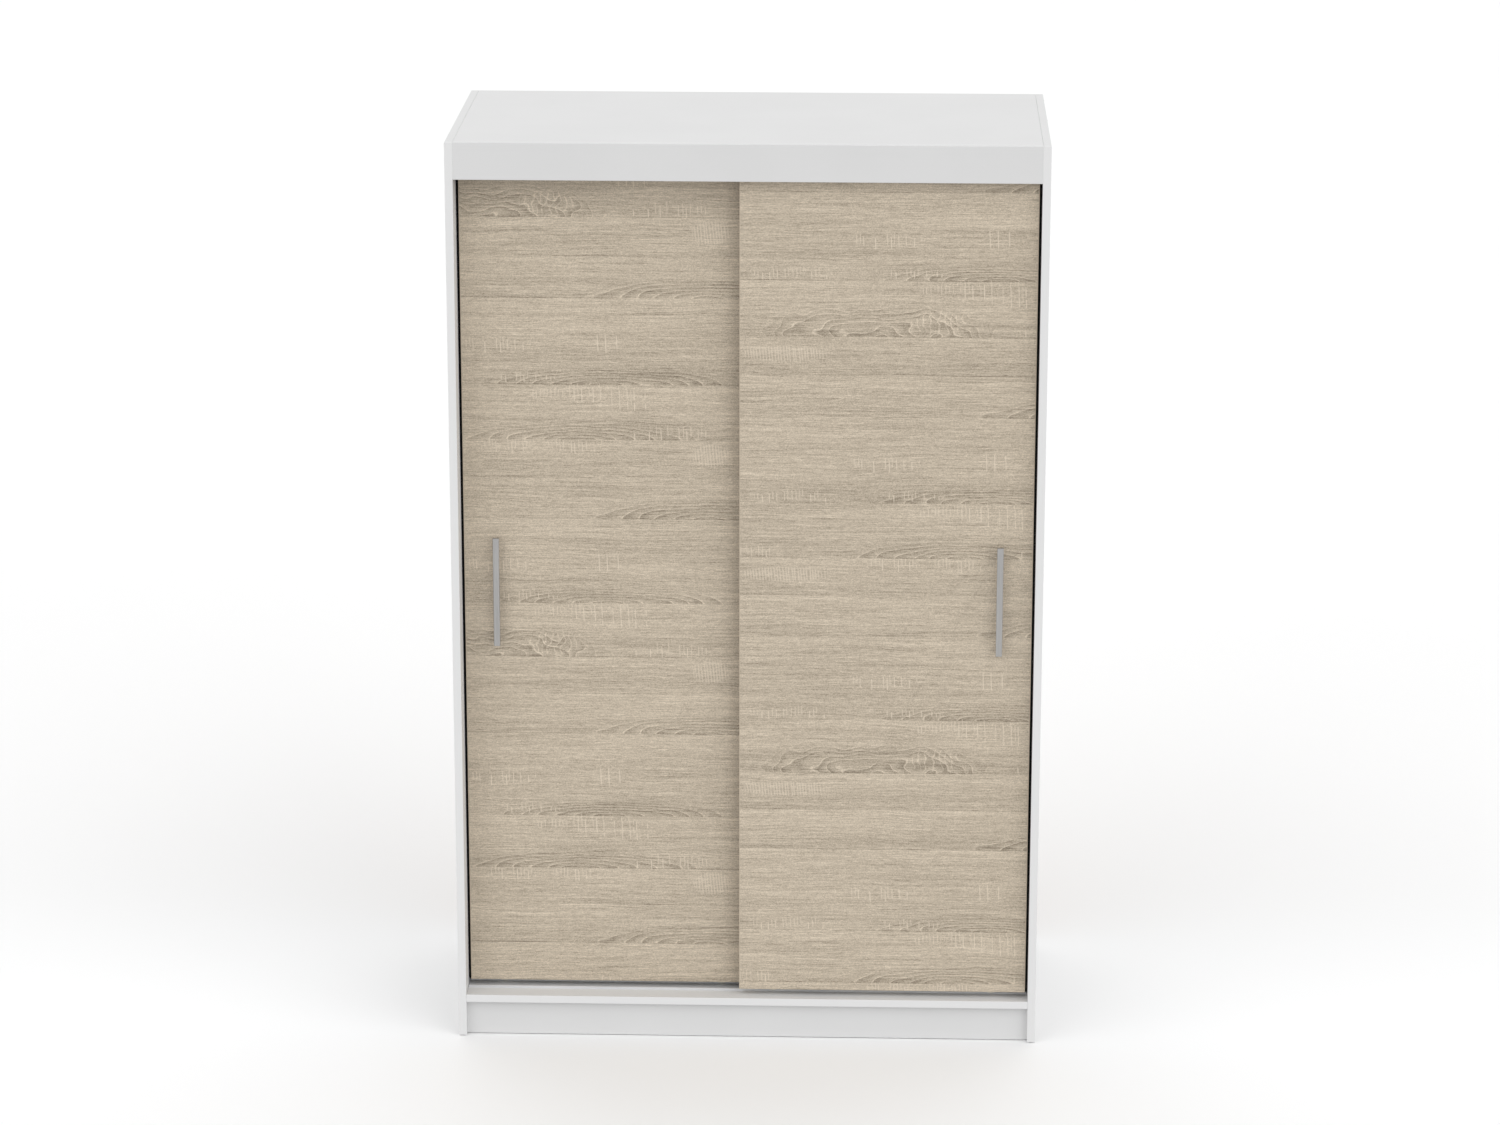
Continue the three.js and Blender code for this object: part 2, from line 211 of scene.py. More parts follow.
# Cathedral figures, each cut off by the joint it stands on: (along, foot, half length, height).
FIGURES = ((0.330, -0.165, 0.280, 0.043), (0.120, -0.344, 0.270, 0.037))
SWIRL = (-0.125, 0.0, 0.250, 0.078)
CALM_FIGURE = (0.060, 0.0, 0.270, 0.040)
FAN = (0.000, 0.028, 0.058, 0.026)
FAN_PITCH = 13.3 * MM
FAN_LEAN = -0.24
FAN_SWEEP = 3.2  # how far the lines sway, in pitches

# Patches of saw marks: (along, up, half length, half height).
RAGGED_MARKS = (
    (0.080, -0.361, 0.135, 0.015),
    (-0.060, -0.330, 0.080, 0.008),
    (-0.300, -0.331, 0.090, 0.010),
    (0.110, -0.254, 0.045, 0.020),
    (-0.110, -0.262, 0.085, 0.013),
    (0.245, 0.014, 0.095, 0.013),
    (0.150, -0.384, 0.060, 0.010),
)
CALM_MARKS = ((-0.090, -0.012, 0.055, 0.013), (0.040, -0.014, 0.055, 0.013), (-0.370, 0.010, 0.050, 0.012))
LADDERS = ((0.325, -0.031, 0.042, 0.026), (-0.310, -0.036, 0.100, 0.017))
MARK_PITCH = 7.6 * MM
MARK_SCATTER = 14 * MM  # whole range that ragged marks are moved through
RUNG_PITCH = 6.0 * MM
MARK_ROW = 59 * MM  # marks change their places from one row to the next


class Decor:
    """Works out the printed oak from a place on the door."""

    def __init__(self, graph, along, height, seed):
        g = graph
        self.g = g
        self.seed = seed
        self.along = along
        self.up = g.math("WRAP", height, REPEAT_TOP, REPEAT_FOOT)
        turn = g.math("FLOOR", g.math("MULTIPLY_ADD", height, 1 / REPEAT, -REPEAT_TOP / REPEAT))
        self.calm = g.math("FLOORED_MODULO", g.add(turn, 1.0), 2.0)
        self.place = g.vector(along, self.up)
        self.sheet = g.vector(along, height)
        drift = self.layer(self.sheet, 0.240, 0.070, GRAIN_DRIFT)
        self.bent = g.vector(along, g.add(height, drift))

    def scaled(self, place, scale, shift):
        """A place scaled and then shifted."""
        made = self.g.tree.nodes.new("ShaderNodeVectorMath")
        made.operation = "MULTIPLY_ADD"
        for socket, value in zip(made.inputs, (place, scale, shift)):
            self.g.feed(socket, value)
        return made.outputs[0]

    def streaks(self, place, length, height, detail=2.0):
        """Noise centred on 0, whose features have this length along the grain and this height."""
        self.seed += 1.7
        field = self.scaled(place, (1 / length, 1 / height, 0.0), (0.0, 0.0, self.seed))
        return self.g.math("SUBTRACT", self.g.noise(field, detail), 0.5)

    def layer(self, place, length, height, weight, detail=2.0):
        """Streaks times a weight."""
        return self.g.times(self.streaks(place, length, height, detail), weight)

    def reach(self, place, along, up, half_length, half_height):
        """Distance from a point, where 1 is the rim of the ellipse with these half sizes."""
        scale = (1 / half_length, 1 / half_height, 0.0)
        shift = (-along / half_length, -up / half_height, 0.0)
        made = self.g.tree.nodes.new("ShaderNodeVectorMath")
        made.operation = "LENGTH"
        self.g.feed(made.inputs[0], self.scaled(place, scale, shift))
        return made.outputs["Value"]

    def only_if(self, reach, wanted):
        """Puts a distance out of reach where wanted is 0."""
        return self.g.math("MULTIPLY_ADD", self.g.math("SUBTRACT", 1.0, wanted), OUT_OF_REACH, reach)

    def nearest(self, distances):
        """The smallest of some distances."""
        best = distances[0]
        for distance in distances[1:]:
            best = self.g.math("MINIMUM", best, distance)
        return best

    def fall(self, value, low, high):
        """Falls smoothly from 1 at low to 0 at high."""
        return self.g.math("SUBTRACT", 1.0, self.g.step(value, low, high))

    def tone(self):
        """The tone of the strips, up the repeat. One strip runs on through the repeat's ends."""
        below = min(JOINTS) - REPEAT_FOOT
        above = REPEAT_TOP - max(JOINTS)
        at_ends = STRIP_FOOT + (STRIP_HEAD - STRIP_FOOT) * above / (above + below)
        tones = [(REPEAT_FOOT, at_ends), (REPEAT_TOP, at_ends)]
        tones += [(joint - JOINT_BLUR, STRIP_HEAD) for joint in JOINTS]
        tones += [(joint + JOINT_BLUR, STRIP_FOOT) for joint in JOINTS]
        wave = self.layer(self.place, 0.200, 0.200, JOINT_WANDER)
        share = self.g.math("MULTIPLY_ADD", self.g.add(self.up, wave), 1 / REPEAT, -REPEAT_FOOT / REPEAT)
        stops = [((up - REPEAT_FOOT) / REPEAT, (tone, tone, tone, 1.0)) for up, tone in sorted(tones)]
        return self.g.ramp(share, stops)

    def joint_lines(self):
        """Thin dark lines along the joints, which come and go."""
        g = self.g
        gaps = [g.math("ABSOLUTE", g.math("SUBTRACT", self.up, joint)) for joint in JOINTS]
        come_and_go = g.step(self.streaks(self.sheet, 0.260, 0.060), -0.12, 0.12)
        return g.times(self.fall(self.nearest(gaps), *JOINT_LINE), come_and_go)

    def figure(self, along, foot, half_length, height):
        """Distance within a figure that stands on a joint."""
        reach = self.reach(self.place, along, foot, half_length, height)
        return self.only_if(reach, self.g.math("GREATER_THAN", self.up, foot))

    def figure_rings(self):
        """The cathedral figures: dark late wood, and the pale line at the edge of each ring."""
        g = self.g
        swirled = g.math("SUBTRACT", 1.0, self.calm)
        swirl = self.only_if(self.figure(*SWIRL), swirled)
        reach = self.nearest([
            swirl,
            self.only_if(self.figure(*CALM_FIGURE), self.calm),
            *(self.figure(*row) for row in FIGURES),
        ])
        curl = self.streaks(self.place, 0.070, 0.050, 1.0)
        bends = g.times(curl, g.math("MULTIPLY_ADD", self.fall(swirl, 0.8, 1.1), 0.50, 0.22))
        ring = g.math("FRACT", g.times(g.add(reach, bends), RINGS))
        shown = self.fall(reach, 0.70, 1.05)
        late_wood = g.times(g.step(ring, 0.05, 0.85), self.fall(ring, 0.86, 0.92), shown)
        pale_line = g.times(g.step(ring, 0.85, 0.92), self.fall(ring, 0.96, 1.0), shown)
        return late_wood, g.math("MAXIMUM", pale_line, g.times(self.fan(), swirled))

    def fan(self):
        """Pale wavy lines that rise from the swirl."""
        g = self.g
        sweep = self.layer(self.place, 0.045, 0.030, FAN_SWEEP, 1.0)
        leaning = g.math("MULTIPLY_ADD", self.up, FAN_LEAN, self.along)
        lines = g.math("FRACT", g.add(g.times(leaning, 1 / FAN_PITCH), sweep))
        line = g.times(g.step(lines, 0.0, 0.12), self.fall(lines, 0.16, 0.34))
        return g.times(line, self.fall(self.reach(self.place, *FAN), 0.75, 1.1))

    def comb(self, pitch, slant, width, share):
        """Thin marks across the grain: the mark at a place, and a chance value for its ends."""
        g = self.g
        place = g.times(g.math("MULTIPLY_ADD", self.up, slant, self.along), 1 / pitch)
        row = g.math("FLOOR", g.times(self.up, 1 / MARK_ROW))
        chance = g.tree.nodes.new("ShaderNodeTexWhiteNoise")
        g.feed(chance.inputs["Vector"], g.vector(g.math("FLOOR", place), row))
        first, second, third = g.node("ShaderNodeSeparateXYZ", Vector=chance.outputs["Color"]).outputs
        middle = g.math("MULTIPLY_ADD", second, 0.3, 0.35)
        offset = g.math("ABSOLUTE", g.math("SUBTRACT", g.math("FRACT", place), middle))
        mark = self.fall(offset, 0.25 * width / pitch, 0.75 * width / pitch)
        return g.times(mark, g.math("LESS_THAN", third, share)), first

    def saw_marks(self):
        """Ragged saw marks and even ladders of them."""
        g = self.g
        mark, chance = self.comb(MARK_PITCH, 0.04, 2.0 * MM, 0.66)
        ragged_up = g.math("MULTIPLY_ADD", g.math("SUBTRACT", chance, 0.5), MARK_SCATTER, self.up)
        place = g.vector(self.along, ragged_up)
        calm = self.nearest([self.reach(place, *patch) for patch in CALM_MARKS])
        reach = self.nearest([
            self.only_if(calm, self.calm),
            *(self.reach(place, *patch) for patch in RAGGED_MARKS),
        ])
        ragged = g.times(mark, self.fall(reach, 0.8, 1.05), g.add(0.55, g.times(chance, 0.45)))
        rung, _ = self.comb(RUNG_PITCH, 0.10, 2.6 * MM, 0.95)
        reach = self.nearest([self.reach(self.place, *patch) for patch in LADDERS])
        return g.math("MAXIMUM", ragged, g.times(rung, self.fall(reach, 0.7, 1.1), 0.65))


def oak_laminate(name, panel, along_zero, up_zero, seed):
    """Pale sawn oak decor with a plain edge band along both sides of the door."""
    g = Graph(name, roughness=0.55)
    low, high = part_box(panel)
    along = g.math("SUBTRACT", g.x, low.x + along_zero)
    decor = Decor(g, along, g.math("SUBTRACT", g.z, up_zero), seed)

    saw = decor.saw_marks()
    late_wood, pale_lines = decor.figure_rings()
    # Layers of the print: the length and height of each one's streaks, and its weight.
    clouds = decor.layer(decor.sheet, 0.500, 0.055, 0.18)
    bands = decor.layer(decor.bent, 0.420, 0.009, 0.26)
    growth = g.step(decor.streaks(decor.bent, 0.300, 0.0065, 1.0), 0.02, 0.20)
    long_fibres = decor.layer(decor.bent, 0.150, 0.0012, 0.76)
    short_fibres = decor.layer(decor.bent, 0.016, 0.0012, 0.58, 1.0)
    specks = decor.layer(decor.sheet, 0.0025, 0.0013, 0.60, 0.0)
    fibres = g.add(long_fibres, short_fibres, specks)
    dark = g.add(
        g.times(decor.joint_lines(), 0.21),
        g.times(late_wood, 0.18),
        g.times(growth, 0.07),
    )
    light = g.add(decor.tone(), clouds, bands, fibres, g.times(pale_lines, 0.22))
    shade = g.math("SUBTRACT", light, dark, clamp=True)
    colour = g.mix(shade, SHADE_OAK, LIGHT_OAK)
    colour = g.mix(g.times(saw, 0.70), colour, SAW_OAK)

    middle = (low.x + high.x) / 2
    from_middle = g.math("ABSOLUTE", g.math("SUBTRACT", g.x, middle))
    on_band = g.math("GREATER_THAN", from_middle, (high.x - low.x) / 2 - EDGE_BAND)
    colour = g.mix(g.times(on_band, 0.75), colour, EDGE_OAK)
    rough = g.add(0.48, g.times(shade, 0.14))
    return g.finish(colour, rough, fibres, depth=0.15 * MM, strength=0.5)


# ---------------------------------------------------------------- other finishes


def grained(g, size, detail=2.0):
    """Even noise whose features are about this size, in metres."""
    made = g.node("ShaderNodeTexNoise", Vector=g.place, Scale=1 / size, Detail=detail)
    return made.outputs["Fac"]


def drawn(g, axis, length, width):
    """Noise drawn out along one axis, as brushing or extrusion leaves."""
    scales = [1 / width] * 3
    scales["xyz".index(axis)] = 1 / length
    field = g.vector(*(g.times(part, scale) for part, scale in zip((g.x, g.y, g.z), scales)))
    return g.noise(field, 3.0)


def facing_y(g):
    """Which way the surface faces along Y: 1 towards the wall, -1 towards the front."""
    turned = g.node("ShaderNodeTexCoord").outputs["Normal"]
    return g.node("ShaderNodeSeparateXYZ", Vector=turned).outputs["Y"]


def white_melamine(name, banded):
    """White melamine board: fine pearl, faint clouding and, if banded, a paler front edge."""
    g = Graph(name)
    pearl_grain = grained(g, 1.1 * MM)
    clouds = grained(g, 180 * MM)
    colour = g.mix(g.step(clouds, 0.3, 0.7), srgb("#dcdcdc"), srgb("#dedede"))
    colour = g.mix(g.times(g.step(pearl_grain, 0.35, 0.75), 0.25), colour, srgb("#d8d8d7"))
    if banded:
        on_band = g.math("LESS_THAN", facing_y(g), -0.5)
        colour = g.mix(on_band, colour, srgb("#e6e6e6"))
    rough = g.add(0.38, g.times(pearl_grain, 0.16))
    return g.finish(colour, rough, pearl_grain, depth=0.05 * MM, strength=0.35)


def hardboard():
    """Thin hardboard: raw brown fibre on the wall side, white lacquer on the inside."""
    g = Graph("hardboard", roughness=0.75)
    fibre = drawn(g, "z", 9 * MM, 1.6 * MM)
    fleck = grained(g, 3.5 * MM, 4.0)
    raw = g.ramp(g.add(g.times(fibre, 0.5), g.times(fleck, 0.5)), [
        (0.30, srgb("#8a6a4a")), (0.52, srgb("#a5825e")), (0.72, srgb("#bb9a76")),
    ])
    outside = g.math("GREATER_THAN", facing_y(g), 0.5)
    colour = g.mix(outside, srgb("#e9e8e5"), raw)
    rough = g.add(0.45, g.times(outside, 0.3))
    return g.finish(colour, rough, fibre, depth=0.12 * MM, strength=0.5)


def brushed_metal(name, axis, dark, pale, roughness, metallic=1.0):
    """Metal with fine brushing or die lines along one axis."""
    g = Graph(name, roughness, metallic)
    lines = drawn(g, axis, 120 * MM, 0.5 * MM)
    smudge = grained(g, 35 * MM)
    colour = g.mix(g.step(lines, 0.3, 0.7), srgb(dark), srgb(pale))
    rough = g.add(roughness - 0.08, g.times(lines, 0.12), g.times(smudge, 0.06))
    return g.finish(colour, rough, lines, depth=0.02 * MM, strength=0.3)


def polished_metal(name, tint):
    """Plated metal with faint haze."""
    g = Graph(name, 0.1, metallic=1.0)
    haze = grained(g, 14 * MM, 3.0)
    colour = g.mix(haze, srgb(tint), srgb("#f1f2f3"))
    return g.finish(colour, g.add(0.07, g.times(haze, 0.10)))


def moulded_plastic(name, dark, pale, roughness):
    """Moulded plastic with a fine spark texture."""
    g = Graph(name, roughness)
    spark = grained(g, 0.7 * MM, 3.0)
    colour = g.mix(spark, srgb(dark), srgb(pale))
    rough = g.add(roughness - 0.06, g.times(spark, 0.14))
    return g.finish(colour, rough, spark, depth=0.05 * MM, strength=0.4)


def brush_pile():
    """Dense black pile, a little paler towards its tips."""
    g = Graph("black_pile", roughness=0.9)
    g.shader.inputs["Specular IOR Level"].default_value = 0.1
    hairs = drawn(g, "x", 6 * MM, 0.3 * MM)
    colour = g.mix(g.step(hairs, 0.35, 0.7), srgb("#050506"), srgb("#1b1b1d"))
    return g.finish(colour, g.add(0.8, g.times(hairs, 0.15)), hairs, depth=0.2 * MM, strength=0.7)


FINISH = {
    "white_board": white_melamine("white_melamine", banded=False),
    "hardboard": hardboard(),
    "track_aluminium": brushed_metal("anodised_track", "x", "#d4d5d7", "#e6e7e8", 0.44, 0.35),
    "handle_metal": brushed_metal("satin_handle", "z", "#a09f9e", "#b6b5b4", 0.42),
    "chrome_rail": polished_metal("chrome", "#c9cccf"),
    "steel": brushed_metal("zinc_steel", "z", "#8f9194", "#b6b8ba", 0.36),
    "brush_pile": brush_pile(),
    "grey_plastic": moulded_plastic("grey_plastic", "#5c5f62", "#7c7f82", 0.5),
    "nylon": moulded_plastic("white_nylon", "#d9d6cc", "#ece9e0", 0.42),
    "glide_plastic": moulded_plastic("black_plastic", "#161617", "#262627", 0.55),
}
BANDED_BOARD = white_melamine("banded_melamine", banded=True)

# White boards that show their broad face to the front, and so no banded edge.
FACE_FORWARD = ("top_fascia", "front_plinth", "rear_plinth")

# The decor's axes start this far in from the panel's left side and this high above the floor.
DOOR_OAK = {
    "left_door": oak_laminate("left_door_oak", "left_door_panel", 0.179, 0.812, seed=3.0),
    "right_door": oak_laminate("right_door_oak", "right_door_panel", 0.401, 0.580, seed=11.0),
}


# ---------------------------------------------------------------- carried-over CAD nodes

EDGE_ROUND = {"white_board": 0.9 * MM, "oak_board": 0.8 * MM, "handle_metal": 0.5 * MM}
WELD_GAP = 0.01 * MM
SHARP_TURN = math.radians(40)


def finish_of(node):
    """The finish of a CAD node: doors have their own oak, and most white boards a banded front edge."""
    slot = SLOT_OF[node]
    if slot == "oak_board":
        return DOOR_OAK[BODY_OF[node]]
    if slot == "white_board" and node not in FACE_FORWARD:
        return BANDED_BOARD
    return FINISH[slot]


def dress(node):
    """Gives a CAD node its finish, and rounds its sharp edges a little."""
    piece = NODES[node]
    piece.data.materials.clear()
    piece.data.materials.append(finish_of(node))
    width = EDGE_ROUND.get(SLOT_OF[node])
    if width:
        weld = piece.modifiers.new("weld", "WELD")
        weld.merge_threshold = WELD_GAP
        bevel = piece.modifiers.new("soft_edge", "BEVEL")
        bevel.width = width
        bevel.segments = 2
        bevel.limit_method = "ANGLE"
        bevel.angle_limit = SHARP_TURN


for cad_node in NODES:
    dress(cad_node)


# ---------------------------------------------------------------- small fittings

HEAD_SIDES = 24  # facets round each head
CROSS_ARM = math.radians(16)  # half the angle that one arm of a recess takes up
CROSS_WAIST = 0.38  # reach between the arms, as a share of theirs

# Radius of each kind of head.
SCREW = 3.4 * MM
FLANGE_SCREW = 2.6 * MM
NAIL = 2.4 * MM
CAP = 6.5 * MM
PIN = 2.5 * MM

PIN_REACH = 8.0 * MM
PIN_INSET = 45 * MM  # from a shelf's front and rear edges
FLANGE_RISE = 3.2 * MM  # height of the rail flange's cone under its screws
FLANGE_SCREW_UP = 20.5 * MM  # from the rail's axis, up or down
TRACK_PLATE = 2.0 * MM  # thickness of the upper track between its channels
BACKING = 0.8 * MM  # thickness of the strip that holds a seal's pile
TUFT_WIDTH = 2.6 * MM

# Screws on the back of a door: (part, half their spacing, height above the part's foot).
DOOR_FIXINGS = (("roller_housing", 18 * MM, 48 * MM), ("top_guide", 12 * MM, 14 * MM))


def circle(radius):
    """The outline of a circle."""
    return lambda turn: radius


def cross(reach):
    """The outline of a cross recess whose four arms have this reach."""
    def radius_at(turn):
        off_arm = abs((turn + math.pi / 4) % (math.pi / 2) - math.pi / 4)
        return reach if off_arm < CROSS_ARM else CROSS_WAIST * reach
    return radius_at


def add_turned(bm, place, towards, rows):
    """A closed skin over rows of (radius at each turn, height), whose axis points in a direction."""
    facing = Matrix.Translation(place) @ Vector(towards).to_track_quat("Z", "Y").to_matrix().to_4x4()
    turns = [2 * math.pi * i / HEAD_SIDES for i in range(HEAD_SIDES)]
    rings = []
    for radius_at, height in rows:
        flat = [(radius_at(turn) * math.cos(turn), radius_at(turn) * math.sin(turn)) for turn in turns]
        rings.append([bm.verts.new(facing @ Vector((x, y, height))) for x, y in flat])
    for lower, upper in zip(rings, rings[1:]):
        for i in range(HEAD_SIDES):
            bm.faces.new((lower[i - 1], lower[i], upper[i], upper[i - 1]))
    bm.faces.new(rings[-1])


def screw_head(bm, place, towards, radius=SCREW):
    """A low domed head with a cross recess."""
    height = 0.38 * radius
    add_turned(bm, place, towards, [
        (circle(radius), 0.0),
        (circle(0.96 * radius), 0.35 * height),
        (circle(0.75 * radius), 0.85 * height),
        (circle(0.62 * radius), height),
        (cross(0.55 * radius), height),
        (cross(0.42 * radius), 0.15 * height),
    ])


def nail_head(bm, place, towards):
    """A flat head with a rounded rim."""
    add_turned(bm, place, towards, [
        (circle(NAIL), 0.0),
        (circle(NAIL), 0.4 * MM),
        (circle(0.7 * NAIL), 0.7 * MM),
    ])


def cover_cap(bm, place, towards):
    """A thin plastic cap pressed over a screw."""
    add_turned(bm, place, towards, [
        (circle(CAP), 0.0),
        (circle(CAP), 0.3 * MM),
        (circle(0.92 * CAP), 0.7 * MM),
        (circle(0.50 * CAP), 0.9 * MM),
    ])


def shelf_pin(bm, place, towards):
    """A round peg with a collar against the board and a rounded tip."""
    add_turned(bm, place, towards, [
        (circle(1.5 * PIN), 0.0),
        (circle(1.5 * PIN), 1.0 * MM),
        (circle(PIN), 1.2 * MM),
        (circle(PIN), PIN_REACH - 0.8 * MM),
        (circle(0.6 * PIN), PIN_REACH),
    ])


def spaced(low, high, inset, pitch):
    """Places from low to high, inset from both ends and about a pitch apart."""
    length = high - low - 2 * inset
    count = max(1, round(length / pitch))
    return [low + inset + length * i / count for i in range(count + 1)]


def make_piece(name, bm, body, slot):
    """A piece that rides on a body and has a slot's finish."""
    mesh = bpy.data.meshes.new(name)
    bm.to_mesh(mesh)
    bm.free()
    piece = bpy.data.objects.new(name, mesh)
    bpy.context.scene.collection.objects.link(piece)
    piece.data.materials.append(FINISH[slot])
    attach(piece, body)
    return piece


def side_caps():
    """Caps over the screws that hold the boards, on the outer faces of the side panels."""
    bm = bmesh.new()
    for side, sign in zip(SIDES, (-1, 1)):
        low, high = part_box(f"{side}_side_panel")
        face = low.x if sign < 0 else high.x
        for board in ("top_board", "bottom_board"):
            below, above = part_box(board)
            for y in spaced(below.y, above.y, inset=60 * MM, pitch=230 * MM):
                cover_cap(bm, (face, y, (below.z + above.z) / 2), (sign, 0, 0))
    make_piece("side_screw_caps", bm, "carcass", "white_board")


def back_nails():
    """Nails round the rim of each back panel."""
    bm = bmesh.new()
    for side in SIDES:
        low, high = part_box(f"back_panel_{side}")
        across = spaced(low.x, high.x, inset=7 * MM, pitch=140 * MM)
        up = spaced(low.z, high.z, inset=7 * MM, pitch=150 * MM)
        rim = [(x, z) for x in (across[0], across[-1]) for z in up]
        rim += [(x, z) for x in across[1:-1] for z in (up[0], up[-1])]
        for x, z in rim:
            nail_head(bm, (x, high.y, z), (0, 1, 0))
    make_piece("back_panel_nails", bm, "carcass", "steel")


def flange_screws():
    """Two screws in each flange of the hanging rail."""
    bm = bmesh.new()
    for side, sign in zip(SIDES, (1, -1)):
        low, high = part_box(f"rail_flange_{side}")
        foot = low.x if sign > 0 else high.x
        middle = (low + high) / 2
        for up in (-FLANGE_SCREW_UP, FLANGE_SCREW_UP):
            screw_head(bm, (foot + sign * FLANGE_RISE, middle.y, middle.z + up), (sign, 0, 0), FLANGE_SCREW)
    make_piece("rail_flange_screws", bm, "carcass", "steel")


def track_screws():
    """Screws between the two channels of the upper track."""
    bm = bmesh.new()
    low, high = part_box("upper_track")
    for x in spaced(low.x, high.x, inset=40 * MM, pitch=270 * MM):
        screw_head(bm, (x, (low.y + high.y) / 2, high.z - TRACK_PLATE), (0, 0, -1))
    make_piece("upper_track_screws", bm, "carcass", "steel")


def door_fixings(door):
    """Two screws through each roller housing and each top guide, on the back of the door."""
    bm = bmesh.new()
    for part, apart, up in DOOR_FIXINGS:
        for side in SIDES:
            low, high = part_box(f"{door}_{part}_{side}")
            for x in (-apart, apart):
                screw_head(bm, ((low.x + high.x) / 2 + x, high.y, low.z + up), (0, 1, 0))
    make_piece(f"{door}_fixing_screws", bm, door, "steel")


def shelf_pins():
    """Four pins under each shelf."""
    bm = bmesh.new()
    for shelf in (node for node in NODES if "shelf" in node):
        low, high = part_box(shelf)
        for y in (low.y + PIN_INSET, high.y - PIN_INSET):
            for face, sign in ((low.x, 1), (high.x, -1)):
                shelf_pin(bm, (face, y, low.z - PIN), (sign, 0, 0))
    make_piece("shelf_pins", bm, "carcass", "steel")


def add_block(bm, low, high):
    """A block from its lowest corner to its highest."""
    verts = bmesh.ops.create_cube(bm, size=1.0)["verts"]
    size = Matrix.Diagonal((*(high - low), 1.0))
    bmesh.ops.transform(bm, matrix=Matrix.Translation((low + high) / 2) @ size, verts=verts)


def add_tuft(bm, root, reach, lean):
    """A thin three-sided tuft of pile, from its root to a leaning tip."""
    wide = TUFT_WIDTH / 2
    corners = [(0, -wide, -wide), (0, wide, -wide), (0, 0, wide)]
    foot = [bm.verts.new(root + Vector(corner)) for corner in corners]
    tip = bm.verts.new(root + Vector((reach, *lean)))
    for first, second in zip(foot, foot[1:] + foot[:1]):
        bm.faces.new((first, second, tip) if reach > 0 else (second, first, tip))


def pile_seal(door):
    """A backing strip along the door's outer edge, with rows of leaning tufts."""
    node = f"{door}_brush_seal"
    low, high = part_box(node)
    outward = -1 if door == "left_door" else 1
    door_edge = high.x if outward < 0 else low.x
    face = door_edge + outward * BACKING
    chance = random.Random(node)
    bm = bmesh.new()
    inner, outer = sorted((door_edge, face))
    add_block(bm, Vector((inner, low.y, low.z)), Vector((outer, high.y, high.z)))
    pile = high.x - low.x - BACKING
    for z in spaced(low.z, high.z, inset=TUFT_WIDTH, pitch=2.2 * MM):
        for y in spaced(low.y, high.y, inset=TUFT_WIDTH / 2, pitch=1.8 * MM):
            lean = [chance.uniform(-1, 1) * TUFT_WIDTH / 2 for _ in "yz"]
            add_tuft(bm, Vector((face, y, z)), outward * pile * chance.uniform(0.90, 1.0), lean)
    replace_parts(make_piece(f"{door}_pile_seal", bm, door, "brush_pile"), node)


side_caps()
back_nails()
flange_screws()
track_screws()
shelf_pins()
for door in DOORS:
    door_fixings(door)
    pile_seal(door)


# ---------------------------------------------------------------- studio

CAMERA_PLACE = Vector((0.290, -9.154, 3.541))
CAMERA_PITCH = math.radians(15.806)
CAMERA_YAW = math.radians(1.834)
CAMERA_ROLL = math.radians(0.066)
LENS_MM = 109.2
SENSOR_MM = 36.0
FLOOR_REACH = 60.0
UNDER_FLOOR = 0.2 * MM
SKY_ABOVE = 0.55
SKY_BELOW = 0.65
SKY_BLEND = 0.1  # above and below the horizon, where 1 is straight up
LAMP_SPREAD = math.radians(60)

# Lamps: (name, direction, strength).
LAMPS = (
    ("key", (0.66, -0.56, 0.50), 1.12),
    ("fill", (-0.66, -0.56, 0.50), 0.86),
    ("back", (0.0, 0.50, 0.86), 0.84),
)


def make_camera():
    """The camera that was solved from the photo."""
    camera = bpy.data.objects.new("camera", bpy.data.cameras.new("camera"))
    bpy.context.scene.collection.objects.link(camera)
    camera.data.lens = LENS_MM
    camera.data.sensor_width = SENSOR_MM
    camera.data.clip_end = 2 * FLOOR_REACH
    turn = Matrix.Rotation(CAMERA_YAW, 4, "Z") @ Matrix.Rotation(math.pi / 2 - CAMERA_PITCH, 4, "X")
    camera.matrix_world = Matrix.Translation(CAMERA_PLACE) @ turn @ Matrix.Rotation(CAMERA_ROLL, 4, "Z")
    bpy.context.scene.camera = camera


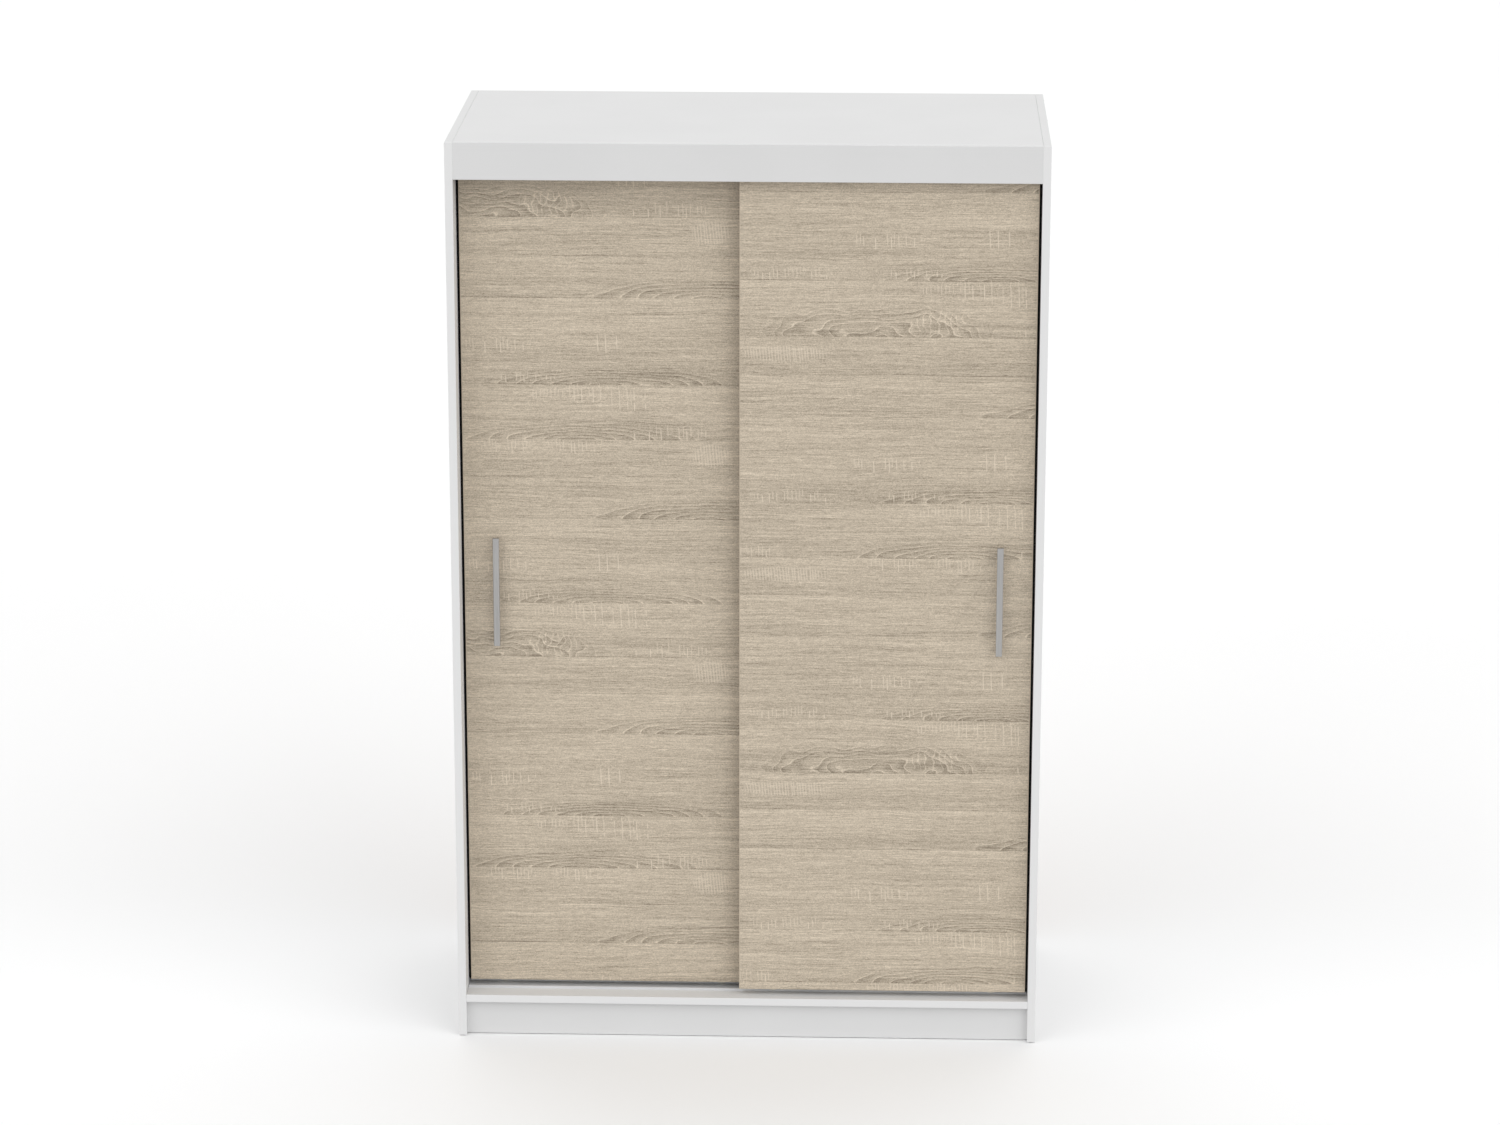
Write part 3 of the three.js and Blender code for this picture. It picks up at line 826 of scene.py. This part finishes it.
def add_ground(name, paper, low, high, height):
    """A level sheet between two corners."""
    bm = bmesh.new()
    corners = [(low.x, low.y), (high.x, low.y), (high.x, high.y), (low.x, high.y)]
    bm.faces.new([bm.verts.new((x, y, height)) for x, y in corners])
    mesh = bpy.data.meshes.new(name)
    bm.to_mesh(mesh)
    bm.free()
    ground = bpy.data.objects.new(name, mesh)
    bpy.context.scene.collection.objects.link(ground)
    ground.data.materials.append(paper)
    return ground


def make_floor():
    """A wide pale floor that throws no light back, with a patch that keeps the underside dark."""
    g = Graph("floor_paper", roughness=0.9)
    haze = grained(g, 2.0)
    paper = g.finish(g.mix(haze, srgb("#f7f7f7"), srgb("#f9f9f9")))
    reach = Vector((FLOOR_REACH, FLOOR_REACH))
    floor = add_ground("floor", paper, -reach, reach, 0.0)
    floor.visible_diffuse = False
    add_ground("floor_under", paper, *CAD_BOX, -UNDER_FLOOR)


def make_sky():
    """Soft light from all round, set apart for above and below the horizon."""
    world = bpy.data.worlds.new("studio")
    bpy.context.scene.world = world
    world.use_nodes = True
    tree = world.node_tree
    split = tree.nodes.new("ShaderNodeSeparateXYZ")
    tree.links.new(tree.nodes.new("ShaderNodeTexCoord").outputs["Generated"], split.inputs["Vector"])
    blend = tree.nodes.new("ShaderNodeMapRange")
    blend.inputs["From Min"].default_value = -SKY_BLEND
    blend.inputs["From Max"].default_value = SKY_BLEND
    blend.inputs["To Min"].default_value = SKY_BELOW
    blend.inputs["To Max"].default_value = SKY_ABOVE
    tree.links.new(split.outputs["Z"], blend.inputs["Value"])
    background = tree.nodes["Background"]
    background.inputs["Color"].default_value = (1, 1, 1, 1)
    tree.links.new(blend.outputs["Result"], background.inputs["Strength"])


def make_lamp(name, towards, strength):
    """A wide soft lamp, far off in one direction."""
    lamp = bpy.data.objects.new(name, bpy.data.lights.new(name, "SUN"))
    bpy.context.scene.collection.objects.link(lamp)
    lamp.data.angle = LAMP_SPREAD
    lamp.data.energy = strength
    lamp.rotation_mode = "QUATERNION"
    lamp.rotation_quaternion = Vector(towards).to_track_quat("Z", "Y")


make_camera()
make_floor()
make_sky()
for lamp_row in LAMPS:
    make_lamp(*lamp_row)
bpy.context.scene.view_settings.view_transform = "Standard"
